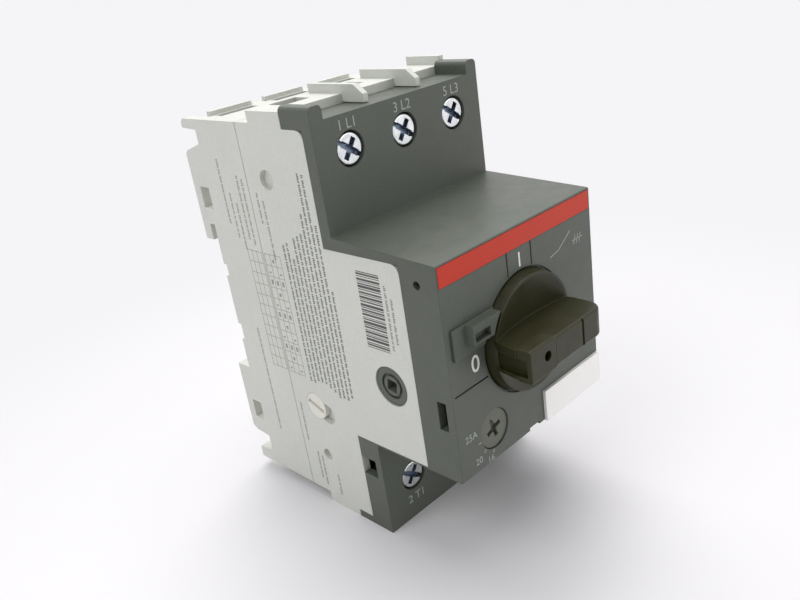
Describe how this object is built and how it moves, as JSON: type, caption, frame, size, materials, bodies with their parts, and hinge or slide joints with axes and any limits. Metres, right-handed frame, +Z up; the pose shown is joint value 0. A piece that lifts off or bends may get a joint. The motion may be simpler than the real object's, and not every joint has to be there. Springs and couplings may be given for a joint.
{
  "type": "motor protection breaker",
  "caption": "Rail-mounted motor protection breaker with a rotary switching knob, a current dial, screw terminals above and below, and a thermal and magnetic release inside.",
  "frame": {"origin": "middle of the bounding box's foot, where the device stands", "axes": "+X to the right seen from the front, +Y back to the rail, +Z up"},
  "size_m": [0.045, 0.0802, 0.0911],
  "materials": {
    "cover_grey": "fine-textured moulded plastic",
    "housing_grey": "fine-textured moulded plastic",
    "stripe_red": "satin film",
    "label_white": "satin",
    "knob_black": "fine-textured moulded plastic",
    "inner_plastic": "moulded plastic",
    "white_plastic": "moulded plastic",
    "zinc_steel": "zinc plated",
    "spring_steel": "bright",
    "soft_iron": "pressed",
    "copper": "bright copper",
    "enamelled_wire": "enamelled copper wire",
    "bimetal": "rolled strip"
  },
  "bodies": {
    "housing": {"front_cover": "cover_grey", "middle_housing": "housing_grey", "rear_base": "housing_grey", "stripe_plate": "stripe_red", "label_plate": "label_white", "arc_plates": "zinc_steel", "magnet_yokes": "soft_iron", "coil_bobbins": "white_plastic", "magnet_coils": "enamelled_wire", "heater_windings": "bimetal", "latch_pin": "zinc_steel", "lever_pin": "zinc_steel", "side_plug": "white_plastic", "rail_clip_spring": "spring_steel", "upper_bar_1": "copper", "lower_bar_1": "copper", "lower_contact_1": "copper", "bimetal_1": "bimetal", "plunger_spring_1": "spring_steel", "upper_bar_2": "copper", "lower_bar_2": "copper", "lower_contact_2": "copper", "bimetal_2": "bimetal", "plunger_spring_2": "spring_steel", "upper_bar_3": "copper", "lower_bar_3": "copper", "lower_contact_3": "copper", "bimetal_3": "bimetal", "plunger_spring_3": "spring_steel"},
    "knob": {"knob": "knob_black", "knob_shaft": "inner_plastic"},
    "lock_slide": {"lock_slide": "knob_black"},
    "contact_carrier": {"contact_carrier": "inner_plastic", "contact_bridges": "copper", "contact_springs": "spring_steel"},
    "trip_bar": {"trip_bar": "inner_plastic"},
    "latch": {"latch": "zinc_steel"},
    "trip_slide": {"trip_slide": "white_plastic"},
    "phase_loss_slide": {"phase_loss_slide": "white_plastic"},
    "compensation_lever": {"compensation_lever": "bimetal"},
    "current_dial": {"current_dial": "cover_grey"},
    "test_slide": {"test_slide": "cover_grey"},
    "accessory_drive": {"accessory_drive": "inner_plastic"},
    "rail_clip": {"rail_clip": "inner_plastic"},
    "plunger_1": {"plunger_1": "soft_iron"},
    "upper_screw_1": {"upper_screw_1": "zinc_steel"},
    "upper_cage_1": {"upper_cage_1": "zinc_steel"},
    "lower_screw_1": {"lower_screw_1": "zinc_steel"},
    "lower_cage_1": {"lower_cage_1": "zinc_steel"},
    "plunger_2": {"plunger_2": "soft_iron"},
    "upper_screw_2": {"upper_screw_2": "zinc_steel"},
    "upper_cage_2": {"upper_cage_2": "zinc_steel"},
    "lower_screw_2": {"lower_screw_2": "zinc_steel"},
    "lower_cage_2": {"lower_cage_2": "zinc_steel"},
    "plunger_3": {"plunger_3": "soft_iron"},
    "upper_screw_3": {"upper_screw_3": "zinc_steel"},
    "upper_cage_3": {"upper_cage_3": "zinc_steel"},
    "lower_screw_3": {"lower_screw_3": "zinc_steel"},
    "lower_cage_3": {"lower_cage_3": "zinc_steel"}
  },
  "joints": [
    {"name": "knob_turn", "type": "hinge", "parent": "housing", "child": "knob", "pos_m": [-0.0005, -0.0299, 0.0443], "axis": [0, 1, 0], "range_deg": [0, 90]},
    {"name": "lock_slide_pull", "type": "slide", "parent": "knob", "child": "lock_slide", "axis": [0, -1, 0], "range_m": [0, 0.0045]},
    {"name": "contact_travel", "type": "slide", "parent": "housing", "child": "contact_carrier", "axis": [0, 1, 0], "range_m": [0, 0.0029]},
    {"name": "accessory_drive_turn", "type": "hinge", "parent": "housing", "child": "accessory_drive", "pos_m": [-0.0225, -0.0143, 0.0382], "axis": [-1, 0, 0], "range_deg": [0, 20.47]},
    {"name": "trip_bar_turn", "type": "hinge", "parent": "housing", "child": "trip_bar", "pos_m": [0, 0.0093, 0.0465], "axis": [-1, 0, 0], "range_deg": [0, 10], "stiffness_Nm_per_rad": 0.005},
    {"name": "latch_turn", "type": "hinge", "parent": "housing", "child": "latch", "pos_m": [0.011, -0.0079, 0.054], "axis": [1, 0, 0], "range_deg": [0, 11]},
    {"name": "trip_slide_travel", "type": "slide", "parent": "housing", "child": "trip_slide", "axis": [1, 0, 0], "range_m": [0, 0.0015]},
    {"name": "phase_loss_slide_travel", "type": "slide", "parent": "housing", "child": "phase_loss_slide", "axis": [1, 0, 0], "range_m": [0, 0.0015]},
    {"name": "compensation_lever_turn", "type": "hinge", "parent": "housing", "child": "compensation_lever", "pos_m": [-0.0145, -0.0059, 0.038], "axis": [0, -1, 0], "range_deg": [0, 10]},
    {"name": "current_dial_turn", "type": "hinge", "parent": "housing", "child": "current_dial", "pos_m": [-0.0123, -0.0299, 0.0287], "axis": [0, 1, 0], "range_deg": [0, 270]},
    {"name": "test_slide_push", "type": "slide", "parent": "housing", "child": "test_slide", "axis": [-1, 0, 0], "range_m": [0, 0.0015], "stiffness_N_per_m": 400},
    {"name": "rail_clip_pull", "type": "slide", "parent": "housing", "child": "rail_clip", "axis": [0, 0, -1], "range_m": [0, 0.004], "stiffness_N_per_m": 2000, "springref_m": -0.002, "deforming": ["rail_clip_spring"]},
    {"name": "plunger_1_stroke", "type": "slide", "parent": "housing", "child": "plunger_1", "axis": [0, -1, 0], "range_m": [0, 0.002], "stiffness_N_per_m": 300, "springref_m": -0.001, "deforming": ["plunger_spring_1"]},
    {"name": "upper_screw_1_turn", "type": "hinge", "parent": "housing", "child": "upper_screw_1", "pos_m": [-0.0142, -0.0049, 0.081], "axis": [0, 1, 0], "range_deg": [0, 1543]},
    {"name": "upper_cage_1_lift", "type": "slide", "parent": "housing", "child": "upper_cage_1", "axis": [0, -1, 0], "range_m": [0, 0.003]},
    {"name": "lower_screw_1_turn", "type": "hinge", "parent": "housing", "child": "lower_screw_1", "pos_m": [-0.0142, -0.0049, 0.01], "axis": [0, 1, 0], "range_deg": [0, 1543]},
    {"name": "lower_cage_1_lift", "type": "slide", "parent": "housing", "child": "lower_cage_1", "axis": [0, -1, 0], "range_m": [0, 0.003]},
    {"name": "plunger_2_stroke", "type": "slide", "parent": "housing", "child": "plunger_2", "axis": [0, -1, 0], "range_m": [0, 0.002], "stiffness_N_per_m": 300, "springref_m": -0.001, "deforming": ["plunger_spring_2"]},
    {"name": "upper_screw_2_turn", "type": "hinge", "parent": "housing", "child": "upper_screw_2", "pos_m": [0, -0.0049, 0.081], "axis": [0, 1, 0], "range_deg": [0, 1543]},
    {"name": "upper_cage_2_lift", "type": "slide", "parent": "housing", "child": "upper_cage_2", "axis": [0, -1, 0], "range_m": [0, 0.003]},
    {"name": "lower_screw_2_turn", "type": "hinge", "parent": "housing", "child": "lower_screw_2", "pos_m": [0, -0.0049, 0.01], "axis": [0, 1, 0], "range_deg": [0, 1543]},
    {"name": "lower_cage_2_lift", "type": "slide", "parent": "housing", "child": "lower_cage_2", "axis": [0, -1, 0], "range_m": [0, 0.003]},
    {"name": "plunger_3_stroke", "type": "slide", "parent": "housing", "child": "plunger_3", "axis": [0, -1, 0], "range_m": [0, 0.002], "stiffness_N_per_m": 300, "springref_m": -0.001, "deforming": ["plunger_spring_3"]},
    {"name": "upper_screw_3_turn", "type": "hinge", "parent": "housing", "child": "upper_screw_3", "pos_m": [0.0142, -0.0049, 0.081], "axis": [0, 1, 0], "range_deg": [0, 1543]},
    {"name": "upper_cage_3_lift", "type": "slide", "parent": "housing", "child": "upper_cage_3", "axis": [0, -1, 0], "range_m": [0, 0.003]},
    {"name": "lower_screw_3_turn", "type": "hinge", "parent": "housing", "child": "lower_screw_3", "pos_m": [0.0142, -0.0049, 0.01], "axis": [0, 1, 0], "range_deg": [0, 1543]},
    {"name": "lower_cage_3_lift", "type": "slide", "parent": "housing", "child": "lower_cage_3", "axis": [0, -1, 0], "range_m": [0, 0.003]}
  ],
  "couplings": [
    {"joint": "knob_turn", "follows": "contact_travel", "rad_per_m": 541.65},
    {"joint": "accessory_drive_turn", "follows": "contact_travel", "rad_per_m": 122.6},
    {"joint": "latch_turn", "follows": "trip_bar_turn", "ratio": 1.08},
    {"joint": "compensation_lever_turn", "follows": "trip_slide_travel", "rad_per_m": 111},
    {"joint": "upper_screw_1_turn", "follows": "upper_cage_1_lift", "rad_per_m": 8976},
    {"joint": "lower_screw_1_turn", "follows": "lower_cage_1_lift", "rad_per_m": 8976},
    {"joint": "upper_screw_2_turn", "follows": "upper_cage_2_lift", "rad_per_m": 8976},
    {"joint": "lower_screw_2_turn", "follows": "lower_cage_2_lift", "rad_per_m": 8976},
    {"joint": "upper_screw_3_turn", "follows": "upper_cage_3_lift", "rad_per_m": 8976},
    {"joint": "lower_screw_3_turn", "follows": "lower_cage_3_lift", "rad_per_m": 8976}
  ]
}
